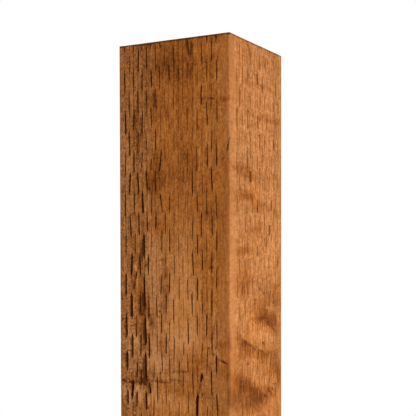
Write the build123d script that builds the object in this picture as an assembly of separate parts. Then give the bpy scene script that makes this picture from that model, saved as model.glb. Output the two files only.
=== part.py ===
"""Square fence post, sawn from one length of timber.

The post stands on its foot: +Z runs up its length, and the origin is the centre of the foot.
The four long edges are eased, and both ends are square saw cuts with sharp edges.
"""

import os

from build123d import *

# Driving dimensions, in millimetres
post_width = 89.0
post_depth = 89.0
post_length = 2438.0
arris_radius = 1.0


def post_section():
    """The dressed section: a square with its four corners eased."""
    with BuildSketch() as section:
        Rectangle(post_width, post_depth)
        fillet(section.vertices(), radius=arris_radius)
    return section.sketch


def fence_post():
    """The whole post: its section run from the foot up to the top cut."""
    with BuildPart() as post:
        add(post_section())
        extrude(amount=post_length)
    return post.part


os.makedirs("parts", exist_ok=True)
export_step(fence_post(), "parts/fence_post.step")
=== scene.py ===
"""A square fence post of incised, brown-treated timber, dressed for looks.

The post is one mesh. Its skin is laid out as a flat sheet, slit and torn in the flat, cut to length
and wrapped round the dressed section, so that every slit of the incising is real relief.
Lengths are in metres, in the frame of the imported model: +Z runs up the post from its foot.
"""

import logging
import math
import random
from dataclasses import dataclass
from enum import Enum
from functools import cached_property

import bmesh
import bpy
from bmesh.types import BMesh, BMFace, BMVert
from bpy.types import ID, Material, Node, NodeSocket, NodeTree, Object, Scene
from mathutils import Matrix, Vector, noise


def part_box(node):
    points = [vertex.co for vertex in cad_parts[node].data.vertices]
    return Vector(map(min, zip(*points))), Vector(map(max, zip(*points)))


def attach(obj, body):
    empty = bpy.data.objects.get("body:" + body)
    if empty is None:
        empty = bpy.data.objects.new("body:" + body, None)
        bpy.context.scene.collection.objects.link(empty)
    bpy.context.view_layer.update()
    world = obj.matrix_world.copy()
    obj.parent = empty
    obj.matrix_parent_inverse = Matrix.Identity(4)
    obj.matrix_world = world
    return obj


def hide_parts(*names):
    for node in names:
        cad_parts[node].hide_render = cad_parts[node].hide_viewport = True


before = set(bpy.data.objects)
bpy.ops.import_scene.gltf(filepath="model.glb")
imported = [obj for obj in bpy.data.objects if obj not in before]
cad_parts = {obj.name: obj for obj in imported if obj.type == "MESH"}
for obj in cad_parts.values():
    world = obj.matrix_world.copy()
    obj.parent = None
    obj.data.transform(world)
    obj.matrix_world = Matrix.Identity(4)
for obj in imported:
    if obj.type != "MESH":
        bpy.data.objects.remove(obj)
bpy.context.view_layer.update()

LOG = logging.getLogger("fence_post")
MM = 0.001
POST_NODE = "fence_post"

# Names of what the mesh carries for its finish
FURROW = "furrow"
# How dark a slit's wall is: soaked-in treatment and painted shade, deepest at the keel
SLIT_SOAK_AND_SHADE = "slit_soak_and_shade"
SLIT_BLEED = "slit_bleed"
# Painted light on the right lip of each slit and painted shade on its left lip
PAINTED_FLANK_SHADING = "painted_flank_shading"
BAKE_MAP = "OFBake"

# What a noise gives on average, and the span that most of it keeps to
NOISE_MIDDLE = 0.5
NOISE_SPAN = (0.3, 0.7)

Colour = tuple[float, float, float]
# The stops of a colour ramp, each with its place on it
Tones = tuple[tuple[float, Colour], ...]
# The two ends of a range
Span = tuple[float, float]
# What goes into a socket: another socket, or a value
Feed = object


class Side(Enum):
    """A long face of the post, in the order in which the skin goes round, seen from above."""

    FRONT = 0
    RIGHT = 1
    BACK = 2
    LEFT = 3

    @property
    def turn(self) -> float:
        """The angle from the front face to this one, about +Z."""
        return self.value * math.pi / 2

    @property
    def across(self) -> Vector:
        """The way across the face, from left to right as seen from outside."""
        return Vector((math.cos(self.turn), math.sin(self.turn), 0))

    @property
    def outward(self) -> Vector:
        """The way the face looks."""
        return Vector((math.sin(self.turn), -math.cos(self.turn), 0))


class Surface(Enum):
    """What a face of the mesh is cut through, and so the slot of its finish."""

    SIDE = 0
    SLIT = 1
    END = 2


@dataclass(frozen=True)
class Section:
    """The dressed section of the post: a rectangle with eased arrises."""

    width: float
    depth: float
    length: float
    arris: float = 1.0 * MM

    def face_width(self, side: Side) -> float:
        """The full width of a face, from sharp corner to sharp corner."""
        return self.width if side in (Side.FRONT, Side.BACK) else self.depth

    def reach(self, side: Side) -> float:
        """How far a face stands from the axis of the post."""
        return (self.depth if side in (Side.FRONT, Side.BACK) else self.width) / 2

    def flat(self, side: Side) -> float:
        """The width of a face between its arrises."""
        return self.face_width(side) - 2 * self.arris

    @property
    def round(self) -> float:
        """The length of skin round one arris."""
        return self.arris * math.pi / 2

    @property
    def girth(self) -> float:
        """The length of skin round the whole section."""
        return sum(self.flat(side) + self.round for side in Side)

    def start(self, side: Side) -> float:
        """Where on the skin the flat of a face begins."""
        return sum(self.flat(other) + self.round for other in Side if other.value < side.value)

    def skin(self, side: Side, across: float) -> float:
        """Where on the skin a place lies that is measured from a face's left sharp corner."""
        return self.start(side) + across - self.arris

    def side_at(self, around: float) -> Side:
        """The face, or the arris after it, at a place on the skin."""
        return max((side for side in Side if around >= self.start(side)), key=lambda side: side.value)

    def spot(self, side: Side, across: float, below: float) -> Vector:
        """A point on a face.

        Args:
            side: The face.
            across: How far the point lies from the face's left sharp corner, seen from outside.
            below: How far the point lies below the top end.

        Returns:
            The point in the frame of the post.
        """
        sideways = side.across * (across - self.face_width(side) / 2)
        return side.outward * self.reach(side) + sideways + Vector((0, 0, self.length - below))

    def wrap(self, around: float, height: float, out: float) -> Vector:
        """Bend a place on the flat sheet round the section.

        Args:
            around: How far round the skin the place lies, from the left end of the front flat.
            height: How far it lies above the foot.
            out: How far it stands out of the skin, below zero for in.

        Returns:
            The point in the frame of the post.
        """
        side = self.side_at(around)
        along = around - self.start(side)
        flat = self.flat(side)
        turn = max(0.0, along - flat) / self.arris
        normal = side.outward * math.cos(turn) + side.across * math.sin(turn)
        centre = side.outward * (self.reach(side) - self.arris)
        centre += side.across * (min(along, flat) - flat / 2)
        return centre + normal * (self.arris + out) + Vector((0, 0, height))


@dataclass(frozen=True)
class Teeth:
    """The row of incising teeth that went over one face.

    Attributes:
        first: The first column of slits, from the face's left corner.
        step: The gap from one column to the next.
        count: How many columns there are.
        width: How wide a slit stands open, on average.
        length: How long a slit is, on average.
        depth: How deep a slit goes that is nearly closed.
        darkness: How dark the slits are inside, up to 1: partly the treatment soaked into them and partly
            painted shade, less on a face that the light falls on squarely.
    """

    first: float
    step: float
    count: int
    width: float
    length: float
    depth: float
    darkness: float

    def columns(self) -> list[float]:
        """The places of the columns across the face."""
        return [self.first + self.step * index for index in range(self.count)]


@dataclass(frozen=True)
class Patch:
    """A soft-edged oval on a face, inside which something is stronger or weaker.

    Attributes:
        side: The face.
        across: Its middle, from the face's left corner.
        below: Its middle, below the top end.
        wide: Its width.
        tall: Its height.
        change: What it adds in its middle.
        tilt: How far it leans, in degrees, with its right end up.
    """

    side: Side
    across: float
    below: float
    wide: float
    tall: float
    change: float
    tilt: float = 0.0

    def share(self, side: Side, across: float, below: float) -> float:
        """How strongly an upright patch holds at a place, from 0 outside it to 1 in its middle."""
        if side is not self.side:
            return 0.0
        away = math.hypot((across - self.across) * 2 / self.wide, (below - self.below) * 2 / self.tall)
        return max(0.0, 1 - away * away)


@dataclass(frozen=True)
class Gash:
    """A slit that stands out from the rest of its column.

    Attributes:
        side: The face.
        tooth: Its column, counted from the face's left corner.
        below: Where its middle is, below the top end.
        width: How wide it stands open.
        lean: How far its foot lies to the right of its head.
        length: Its length, if it has grown past the usual one.
    """

    side: Side
    tooth: int
    below: float
    width: float
    lean: float = 0.0
    length: float = 0.0


@dataclass(frozen=True)
class Check:
    """A long crack that has run along a column of slits as the timber dried.

    Attributes:
        side: The face.
        tooth: Its column, counted from the face's left corner.
        start: Where it begins, below the top end.
        end: Where it ends, below the top end.
        width: How wide it stands open.
    """

    side: Side
    tooth: int
    start: float
    end: float
    width: float


@dataclass(frozen=True)
class Level:
    """One level of an opening in the skin.

    Attributes:
        around: Its middle, round the skin.
        height: Its height above the foot.
        width: How wide the opening is there.
        depth: How deep it goes there.
    """

    around: float
    height: float
    width: float = 0.0
    depth: float = 0.0

    def rim(self, hand: int) -> tuple[float, float]:
        """A point of the rim: on the left for -1, on the right for 1, and between them for 0."""
        return self.around + hand * self.width / 2, self.height


@dataclass(frozen=True)
class Opening:
    """An opening in the skin, from its lower tip to its upper one.

    Attributes:
        foot: The row of the sheet at its lower tip.
        levels: Its levels, one for each row that it takes.
        darkness: How dark its keel is, up to 1.
    """

    foot: int
    levels: list[Level]
    darkness: float

    @property
    def head(self) -> int:
        """The row of the sheet at its upper tip."""
        return self.foot + len(self.levels) - 1


@dataclass
class Incising:
    """The slits stand in columns, and each column is half a pitch out of step with the next.
    """

    # Where the levels of a slit lie along it, from its lower tip to its upper one
    SLIT_SHARES = (-0.5, -0.34, 0.32, 0.5)

    section: Section
    teeth: dict[Side, Teeth]
    gapes: tuple[Patch, ...]
    gashes: tuple[Gash, ...]
    checks: tuple[Check, ...]
    pitch: float = 29.0 * MM
    first_row: float = 0.3 * MM
    rows_to_pitch: int = 4
    least_width: float = 0.26 * MM
    dark_width: float = 0.7 * MM
    gash_darkness: float = 2.0
    dark_floor: float = 0.3
    broad_scale: float = 14.0
    broad_share: float = 0.5
    column_spread: Span = (0.7, 1.3)
    width_spread: Span = (0.35, 1.45)
    length_spread: Span = (0.84, 1.1)
    swell_spread: Span = (0.7, 1.3)
    dark_spread: Span = (0.45, 1.0)
    lean_spread: float = 0.3 * MM
    height_spread: float = 0.6 * MM
    aside_spread: float = 0.2 * MM
    deepening: float = 3.0 / MM
    crack_scale: float = 55.0
    crack_wander: float = 0.8 * MM
    crack_swell: float = 1.1
    crack_swell_scale: float = 2.3
    crack_least: float = 0.15
    crack_depth: float = 1.0 * MM
    crack_deepening: float = 3.0
    seed: int = 20

    def __post_init__(self) -> None:
        """Seed the draws that make each slit differ."""
        self.draw = random.Random(self.seed)

    @property
    def row_step(self) -> float:
        """The gap between the rows of the sheet."""
        return self.pitch / self.rows_to_pitch

    def rows(self) -> list[float]:
        """The heights of the sheet's rows, from past the foot to past the top."""
        spare = 2 * self.rows_to_pitch
        count = math.ceil(self.section.length / self.row_step) + 2 * spare
        top = self.section.length - self.first_row + spare * self.row_step
        return [top - index * self.row_step for index in reversed(range(count))]

    def openings(self, side: Side, tooth: int) -> list[Opening]:
        """The openings in one column.

        Args:
            side: The face.
            tooth: The column, counted from the face's left corner.

        Returns:
            Its checks, and its slits where no check has taken them in.
        """
        rows = self.rows()
        made = [
            self._crack(check, rows) for check in self.checks if check.side is side and check.tooth == tooth
        ]
        taken = [range(crack.foot - len(self.SLIT_SHARES) + 1, crack.head + 1) for crack in made]
        column_width = self.draw.uniform(*self.column_spread)
        phase = self.rows_to_pitch // 2 if tooth % 2 == 0 else 0
        head = len(self.SLIT_SHARES) - 1
        for foot in range(1, len(rows) - len(self.SLIT_SHARES)):
            in_step = (len(rows) - 1 - foot - head) % self.rows_to_pitch == phase
            if in_step and not any(foot in span for span in taken):
                middle = (rows[foot] + rows[foot + head]) / 2
                made.append(self._slit(side, tooth, foot, middle, column_width))
        return made

    def _gash(self, side: Side, tooth: int, below: float) -> Gash | None:
        """The gash that a slit is, if it is one."""
        for gash in self.gashes:
            if gash.side is side and gash.tooth == tooth and abs(gash.below - below) < self.pitch / 2:
                return gash
        return None

    def _slit(self, side: Side, tooth: int, foot: int, height: float, column_width: float) -> Opening:
        """One slit, with its own width, length and lean.

        Args:
            side: The face.
            tooth: The slit's column.
            foot: The row at its lower tip.
            height: Its middle, above the foot of the post.
            column_width: How open the slits of the column are, as a share of the usual.

        Returns:
            The slit.
        """
        draw = self.draw
        below = self.section.length - height
        teeth = self.teeth[side]
        across = teeth.columns()[tooth]
        width = teeth.width * column_width * draw.uniform(*self.width_spread)
        width += sum(gape.change * gape.share(side, across, below) for gape in self.gapes)
        place = self.section.spot(side, across, below)
        width *= 1 + self.broad_share * noise.noise(place * self.broad_scale)
        length = teeth.length * draw.uniform(*self.length_spread)
        lean = draw.gauss(0, self.lean_spread)
        middle = height + draw.gauss(0, self.height_spread)
        around = self.section.skin(side, across) + draw.gauss(0, self.aside_spread)
        bows = [draw.gauss(0, self.aside_spread) for _ in range(2)]
        swells = [draw.uniform(*self.swell_spread) for _ in range(2)]
        darkness = teeth.darkness * draw.uniform(*self.dark_spread)
        darkness *= min(1.0, self.dark_floor + width / self.dark_width)
        gash = self._gash(side, tooth, below)
        if gash:
            width = gash.width
            length = gash.length or length
            middle = self.section.length - gash.below
            lean += gash.lean
            darkness = min(1.0, self.gash_darkness * teeth.darkness)
        width = max(self.least_width, width)
        levels = []
        for share, bow, swell in zip(self.SLIT_SHARES, (0, *bows, 0), (0, *swells, 0)):
            opened = width * swell
            depth = teeth.depth * (1 + self.deepening * opened)
            levels.append(Level(around - share * lean + bow, middle + share * length, opened, depth))
        return Opening(foot, levels, darkness)

    def _crack(self, check: Check, rows: list[float]) -> Opening:
        """One long check, which wanders along its column.

        Args:
            check: The check.
            rows: The heights of the sheet's rows.

        Returns:
            The check as an opening.
        """
        belows = [self.section.length - height for height in rows]
        spans = [row for row, below in enumerate(belows) if check.start < below < check.end]
        column = self.section.skin(check.side, self.teeth[check.side].columns()[check.tooth])
        levels = []
        for row in spans:
            height = rows[row]
            place = Vector((check.tooth, check.side.value, height * self.crack_scale))
            aside = self.crack_wander * noise.noise(place)
            swell = 1 + self.crack_swell * noise.noise(place * self.crack_swell_scale)
            tip = row in (spans[0], spans[-1])
            width = 0.0 if tip else check.width * max(self.crack_least, swell)
            depth = self.crack_depth + self.crack_deepening * width
            levels.append(Level(column + aside, height, width, depth))
        return Opening(spans[0], levels, 1.0)


def placed(name: str, data: ID) -> Object:
    """Put a mesh, a lamp or a camera into the scene as an object."""
    made = bpy.data.objects.new(name, data)
    bpy.context.collection.objects.link(made)
    return made


def made_of(sheet: BMesh, name: str, finishes: list[Material]) -> Object:
    """Turn a finished sheet into an object.

    Args:
        sheet: The sheet, which is used up.
        name: The object's name.
        finishes: Its materials, in the order of their slots.

    Returns:
        The object.
    """
    mesh = bpy.data.meshes.new(name)
    sheet.to_mesh(mesh)
    sheet.free()
    for finish in finishes:
        mesh.materials.append(finish)
    return placed(name, mesh)


@dataclass
class IncisedPost:
    """The post itself, from its slit skin to its sawn ends."""

    section: Section
    incising: Incising
    drifts: tuple[Patch, ...]
    torn: tuple[Patch, ...]
    name: str = "incised_post"
    arris_steps: int = 4
    edge_strip: float = 0.7 * MM
    fixed_edge: float = 3.0 * MM
    strip_lines: int = 2
    waviness: float = 0.12 * MM
    wave_scale: float = 60.0
    crown: float = 0.06 * MM
    tear_scale: float = 210.0
    tear_stretch: float = 0.4
    tear_floor: float = 0.35
    furrow_tear: float = 0.45
    weld: float = 0.001 * MM
    rim_soak_and_shade: float = 0.35
    bake_strips: int = 3
    bake_gap: float = 6.0 * MM

    def build(self, finishes: dict[Surface, Material]) -> Object:
        """Model the post.

        Args:
            finishes: The material of each kind of surface.

        Returns:
            The post as one object.
        """
        sheet = bmesh.new()
        self._open(sheet, self._lay_out(sheet))
        self._drift(sheet)
        self._cut_to_length(sheet)
        self._map(sheet)
        self._wrap(sheet)
        self._close_ends(sheet)
        self._shade(sheet)
        return made_of(sheet, self.name, [finishes[surface] for surface in Surface])

    def _columns(self) -> tuple[list[float], dict[int, tuple[Side, int]]]:
        """Where the lines of the sheet run.

        Returns:
            The places of the lines round the skin, and for each line that carries slits its face
            and its tooth.
        """
        lines: list[float] = []
        slit_lines: dict[int, tuple[Side, int]] = {}
        arris = self.section.arris
        for side in Side:
            cuts = self.incising.teeth[side].columns()
            right_edge = self.section.face_width(side) - arris
            stops = [arris, arris + self.edge_strip, *cuts, right_edge - self.edge_strip, right_edge]
            for left, right in zip(stops, stops[1:]):
                if left in cuts:
                    slit_lines[len(lines)] = (side, cuts.index(left))
                strips = 1 if right - left < 2 * self.edge_strip else self.strip_lines
                for step in range(strips):
                    lines.append(self.section.skin(side, left + (right - left) * step / strips))
            end = self.section.start(side) + self.section.flat(side)
            for step in range(self.arris_steps):
                lines.append(end + self.section.round * step / self.arris_steps)
        return [*lines, self.section.girth], slit_lines

    def _lay_out(self, sheet: BMesh) -> list[Level]:
        """Lay the skin out flat and cut it where its slits and checks go.

        Args:
            sheet: The empty mesh to fill.

        Returns:
            The levels of the openings, in the order of the marks on the sheet's vertices.
        """
        columns, slit_lines = self._columns()
        rows = self.incising.rows()
        last_column, last_row = len(columns) - 1, len(rows) - 1
        bmesh.ops.create_grid(sheet, x_segments=last_column, y_segments=last_row, size=0.5)
        mark = sheet.verts.layers.int.new("level")
        furrow = sheet.verts.layers.float.new(FURROW)
        soak_and_shade = sheet.verts.layers.float.new(SLIT_SOAK_AND_SHADE)
        bleed = sheet.verts.layers.float.new(SLIT_BLEED)
        sheet.verts.layers.float.new(PAINTED_FLANK_SHADING)
        lattice = {}
        for vert in sheet.verts:
            column = round((vert.co.x + 0.5) * last_column)
            row = round((vert.co.y + 0.5) * last_row)
            lattice[column, row] = vert
            vert.co = (columns[column], rows[row], 0)
            vert[furrow] = 1.0 if column in slit_lines else 0.0
        levels: list[Level] = []
        cuts = []
        for column, (side, tooth) in slit_lines.items():
            for opening in self.incising.openings(side, tooth):
                chain = [lattice[column, row] for row in range(opening.foot, opening.head + 1)]
                for vert, level in zip(chain, opening.levels):
                    levels.append(level)
                    vert[mark] = len(levels)
                    vert[soak_and_shade] = opening.darkness
                    vert[bleed] = opening.darkness if level.width else 0.0
                cuts += [sheet.edges.get(pair) for pair in zip(chain, chain[1:])]
        bmesh.ops.split_edges(sheet, edges=cuts)
        return levels

    def _open(self, sheet: BMesh, levels: list[Level]) -> None:
        """Pull each cut open and give it two walls that meet in a keel.

        Args:
            sheet: The flat skin with its cuts.
            levels: The levels of the openings, in the order of the marks on the sheet's vertices.
        """
        mark = sheet.verts.layers.int["level"]
        soak_and_shade = sheet.verts.layers.float[SLIT_SOAK_AND_SHADE]
        bleed = sheet.verts.layers.float[SLIT_BLEED]
        flank_shading = sheet.verts.layers.float[PAINTED_FLANK_SHADING]
        places = {}
        for vert in sheet.verts:
            if vert[mark]:
                aside = sum(face.calc_center_median().x - vert.co.x for face in vert.link_faces)
                hand = 1 if aside > 0 else -1
                places[vert] = levels[vert[mark] - 1].rim(hand)
                # Painted light on the right lip of the slit and painted shade on its left lip, as strong as
                # the slit bleeds
                vert[flank_shading] = hand * vert[bleed]
        for vert, place in places.items():
            vert.co.xy = place
        open_edges = [edge for edge in sheet.edges if edge.is_boundary]
        rims = [edge for edge in open_edges if all(vert[mark] for vert in edge.verts)]
        walls = bmesh.ops.extrude_edge_only(sheet, edges=rims)["geom"]
        for element in walls:
            if isinstance(element, BMFace):
                element.material_index = Surface.SLIT.value
            elif isinstance(element, BMVert):
                level = levels[element[mark] - 1]
                element.co.xy = level.rim(0)
                element.co.z = -level.depth if level.width else 0.0
        # The rims keep only a share of the keel's darkness, so the walls darken towards the keel with
        # painted shade as well as soaked-in treatment
        for vert in places:
            vert[soak_and_shade] *= self.rim_soak_and_shade
        marked = [vert for vert in sheet.verts if vert[mark]]
        bmesh.ops.remove_doubles(sheet, verts=marked, dist=self.weld)

    def _across(self, around: float) -> tuple[Side, float]:
        """The face at a place on the skin, and how far across the face it lies."""
        side = self.section.side_at(around)
        return side, around - self.section.start(side) + self.section.arris

    def _drift(self, sheet: BMesh) -> None:
        """Let the columns wander sideways with the grain.

        Args:
            sheet: The flat skin with its openings.
        """
        for vert in sheet.verts:
            side, across = self._across(vert.co.x)
            below = self.section.length - vert.co.y
            shift = sum(patch.change * patch.share(side, across, below) for patch in self.drifts)
            right = self.section.face_width(side) - across
            edge = min(across, right) - self.section.arris
            vert.co.x += shift * min(1.0, max(0.0, edge / self.fixed_edge))

    def _cut_to_length(self, sheet: BMesh) -> None:
        """Saw the sheet off at the top and at the foot.

        Args:
            sheet: The slit skin, running past both ends.
        """
        for height, way in ((self.section.length, 1), (0.0, -1)):
            geometry = [*sheet.verts, *sheet.edges, *sheet.faces]
            saw = {"plane_co": (0, height, 0), "plane_no": (0, way, 0)}
            bmesh.ops.bisect_plane(sheet, geom=geometry, dist=self.weld, clear_outer=True, **saw)

    def _map(self, sheet: BMesh) -> None:
        """Give the flat skin a map of strips that lie side by side, for anything drawn on it later.

        Args:
            sheet: The slit skin, still flat.
        """
        layer = sheet.loops.layers.uv.new(BAKE_MAP)
        for face in sheet.faces:
            middle = face.calc_center_median()
            side = self.section.side_at(middle.x)
            part = min(int(middle.y / self._strip), self.bake_strips - 1)
            left = self._lane * (side.value * self.bake_strips + part) - self.section.start(side)
            for loop in face.loops:
                around, height, _ = loop.vert.co
                loop[layer].uv = self._mapped(around + left, height - self._strip * part)

    @cached_property
    def _strip(self) -> float:
        """The length of post that lies on one strip of the map."""
        return self.section.length / self.bake_strips

    @cached_property
    def _lane(self) -> float:
        """The width that one strip takes on the map."""
        return max(self.section.flat(side) + self.section.round for side in Side) + self.bake_gap

    @cached_property
    def _map_size(self) -> tuple[float, float]:
        """The width and the height of the whole map: all the strips, and the two ends above them."""
        width = self._lane * len(Side) * self.bake_strips
        return width, self._strip + self.section.width + 2 * self.bake_gap

    def _mapped(self, across: float, along: float) -> tuple[float, float]:
        """A place on the map, past the margin round it, as shares of the map's size."""
        margin = self.bake_gap / 2
        return (across + margin) / self._map_size[0], (along + margin) / self._map_size[1]

    def _relief(self, around: float, height: float, furrow: float) -> float:
        """How far the dried and torn surface has sunk below the dressed one.

        Args:
            around: The place round the skin.
            height: The place above the foot.
            furrow: How near the place is to a column of slits, up to 1.

        Returns:
            The depth, never below zero.
        """
        side, across = self._across(around)
        below = self.section.length - height
        place = self.section.wrap(around, height, 0.0)
        wave = self.waviness * (1 + noise.noise(place * self.wave_scale)) / 2
        tear = sum(patch.change * patch.share(side, across, below) for patch in self.torn)
        fine = Vector((place.x, place.y, place.z * self.tear_stretch)) * self.tear_scale
        ragged = tear * max(0.0, self.tear_floor + noise.noise(fine))
        return wave + ragged + furrow * (self.crown + self.furrow_tear * tear)

    def _wrap(self, sheet: BMesh) -> None:
        """Sink the surface by its relief, bend the sheet round the section and close its seam.

        Args:
            sheet: The slit skin, still flat.
        """
        girth = self.section.girth
        furrow = sheet.verts.layers.float[FURROW]
        for vert in sheet.verts:
            around, height, out = vert.co
            sunk = self._relief(around % girth, height, vert[furrow])
            vert.co = self.section.wrap(around, height, out - sunk)
        seam = [vert for vert in sheet.verts if vert.is_boundary]
        bmesh.ops.remove_doubles(sheet, verts=seam, dist=self.weld)

    def _close_ends(self, sheet: BMesh) -> None:
        """Close the two sawn ends.

        Args:
            sheet: The wrapped skin, open at both ends.
        """
        layer = sheet.loops.layers.uv[BAKE_MAP]
        edges = [edge for edge in sheet.edges if edge.is_boundary]
        for top in (True, False):
            ring = [edge for edge in edges if (edge.verts[0].co.z > self.section.length / 2) == top]
            normal = (0, 0, 1 if top else -1)
            made = bmesh.ops.triangle_fill(sheet, use_beauty=True, edges=ring, normal=normal)
            for face in made["geom"]:
                if isinstance(face, BMFace):
                    face.material_index = Surface.END.value
                    for loop in face.loops:
                        loop[layer].uv = self._end_place(loop.vert.co, top)
        bmesh.ops.recalc_face_normals(sheet, faces=sheet.faces)

    def _end_place(self, point: Vector, top: bool) -> tuple[float, float]:
        """Where a point of a sawn end lies on the map.

        Args:
            point: The point.
            top: Whether it is on the top end.

        Returns:
            Its place on the map.
        """
        across = point.x + self.section.width / 2 + (0 if top else self._lane)
        along = point.y + self.section.depth / 2 + self._strip + self.bake_gap
        return self._mapped(across, along)

    def _shade(self, sheet: BMesh) -> None:
        """Make the skin smooth, and every edge where two kinds of surface meet sharp.

        Args:
            sheet: The closed post.
        """
        for face in sheet.faces:
            face.smooth = True
        for edge in sheet.edges:
            kinds = {face.material_index for face in edge.link_faces}
            edge.smooth = kinds == {Surface.SIDE.value}


@dataclass(frozen=True)
class Pattern:
    """A noise on the timber.

    Attributes:
        along: How fine it is along the post, as a share of how fine it is across.
        scale: How fine it is across.
        detail: How many finer layers it has.
        roughness: How strong those layers are.
    """

    along: float
    scale: Feed
    detail: float = 2.0
    roughness: float = 0.5


class Graph:
    """Adds nodes to one node tree and joins them up."""

    def __init__(self, tree: NodeTree) -> None:
        """Work on a tree."""
        self.tree = tree

    def feed(self, socket: NodeSocket, value: Feed) -> None:
        """Link a socket to another one, or set its value."""
        if isinstance(value, NodeSocket):
            self.tree.links.new(value, socket)
        else:
            socket.default_value = value

    def add(self, kind: str, feeds: dict[str | int, Feed], **settings: object) -> Node:
        """Add a node.

        Args:
            kind: The node's type.
            feeds: What goes into its inputs, by name or number.
            **settings: The node's own properties.

        Returns:
            The node.
        """
        node = self.tree.nodes.new(kind)
        for name, value in settings.items():
            setattr(node, name, value)
        for key, value in feeds.items():
            self.feed(node.inputs[key], value)
        return node

    def math(self, operation: str, *values: Feed, clamp: bool = False) -> NodeSocket:
        """Add a Math node and give its output."""
        settings = {"operation": operation, "use_clamp": clamp}
        return self.add("ShaderNodeMath", dict(enumerate(values)), **settings).outputs[0]

    def vector(self, operation: str, *values: Feed) -> Node:
        """Add a Vector Math node."""
        return self.add("ShaderNodeVectorMath", dict(enumerate(values)), operation=operation)

    def scaled(self, place: Feed, along: float) -> NodeSocket:
        """Stretch a place along the post, so that a pattern on it runs with the fibres."""
        return self.vector("MULTIPLY", place, (1.0, 1.0, along)).outputs[0]

    def attribute(self, name: str) -> NodeSocket:
        """Add an Attribute node for one value of the mesh and give its output."""
        return self.add("ShaderNodeAttribute", {}, attribute_name=name).outputs["Fac"]

    def noise(self, place: Feed, pattern: Pattern) -> Node:
        """Add a Noise Texture node."""
        feeds = {"Vector": self.scaled(place, pattern.along), "Scale": pattern.scale}
        feeds |= {"Detail": pattern.detail, "Roughness": pattern.roughness}
        return self.add("ShaderNodeTexNoise", feeds)

    def total(self, start: Feed, *shares: tuple[Feed, float], middle: float = 0.0) -> Feed:
        """Add values to a start.

        Args:
            start: What they are added to.
            *shares: Each value with its strength.
            middle: What the values are counted from.

        Returns:
            The sum.
        """
        for value, strength in shares:
            counted = self.math("SUBTRACT", value, middle) if middle else value
            start = self.math("MULTIPLY_ADD", counted, strength, start)
        return start

    def ranged(self, value: Feed, low: Feed, high: Feed, to_low: Feed, to_high: Feed) -> NodeSocket:
        """Add a smooth Map Range node and give its output."""
        feeds = {0: value, 1: low, 2: high, 3: to_low, 4: to_high}
        settings = {"interpolation_type": "SMOOTHSTEP", "clamp": False}
        return self.add("ShaderNodeMapRange", feeds, **settings).outputs[0]

    def mix(self, share: Feed, first: Feed, second: Feed) -> NodeSocket:
        """Add a Mix node for colours and give its output."""
        feeds = {0: share, 6: first, 7: second}
        return self.add("ShaderNodeMix", feeds, data_type="RGBA").outputs[2]

    def ramp(self, value: Feed, stops: Tones) -> NodeSocket:
        """Add a Color Ramp node and give its output."""
        node = self.add("ShaderNodeValToRGB", {0: value})
        elements = node.color_ramp.elements
        while len(elements) < len(stops):
            elements.new(1.0)
        for element, (place, colour) in zip(elements, stops):
            element.position = place
            element.color = (*colour, 1.0)
        return node.outputs[0]

    def group(self, tree: NodeTree, **feeds: Feed) -> Node:
        """Place a node group."""
        return self.add("ShaderNodeGroup", feeds, node_tree=tree)


def start_material(name: str, shine: float) -> tuple[Material, Graph, Node, NodeSocket]:
    """Start a material.

    Args:
        name: The material's name.
        shine: Its specular level.

    Returns:
        The material, its graph, its Principled shader and the Object coordinates.
    """
    material = bpy.data.materials.new(name)
    material.use_nodes = True
    graph = Graph(material.node_tree)
    shader = material.node_tree.nodes["Principled BSDF"]
    shader.inputs["Specular IOR Level"].default_value = shine
    place = graph.add("ShaderNodeTexCoord", {}).outputs["Object"]
    return material, graph, shader, place


class NodeGroup:
    """A shader node group with named sockets."""

    KINDS = {"vector": "NodeSocketVector", "value": "NodeSocketFloat"}

    def __init__(self, name: str, inputs: dict[str, str], outputs: dict[str, str]) -> None:
        """Make the group and its sockets.

        Args:
            name: The group's name.
            inputs: The kind of each input, by name.
            outputs: The kind of each output, by name.
        """
        self.tree = bpy.data.node_groups.new(name, "ShaderNodeTree")
        for way, sockets in (("INPUT", inputs), ("OUTPUT", outputs)):
            for socket, kind in sockets.items():
                self.tree.interface.new_socket(socket, in_out=way, socket_type=self.KINDS[kind])
        self.graph = Graph(self.tree)
        self.given = self.graph.add("NodeGroupInput", {}).outputs
        self.made = self.graph.add("NodeGroupOutput", {}).inputs

    def give(self, name: str, value: NodeSocket) -> None:
        """Link one of the group's outputs."""
        self.graph.feed(self.made[name], value)


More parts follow.
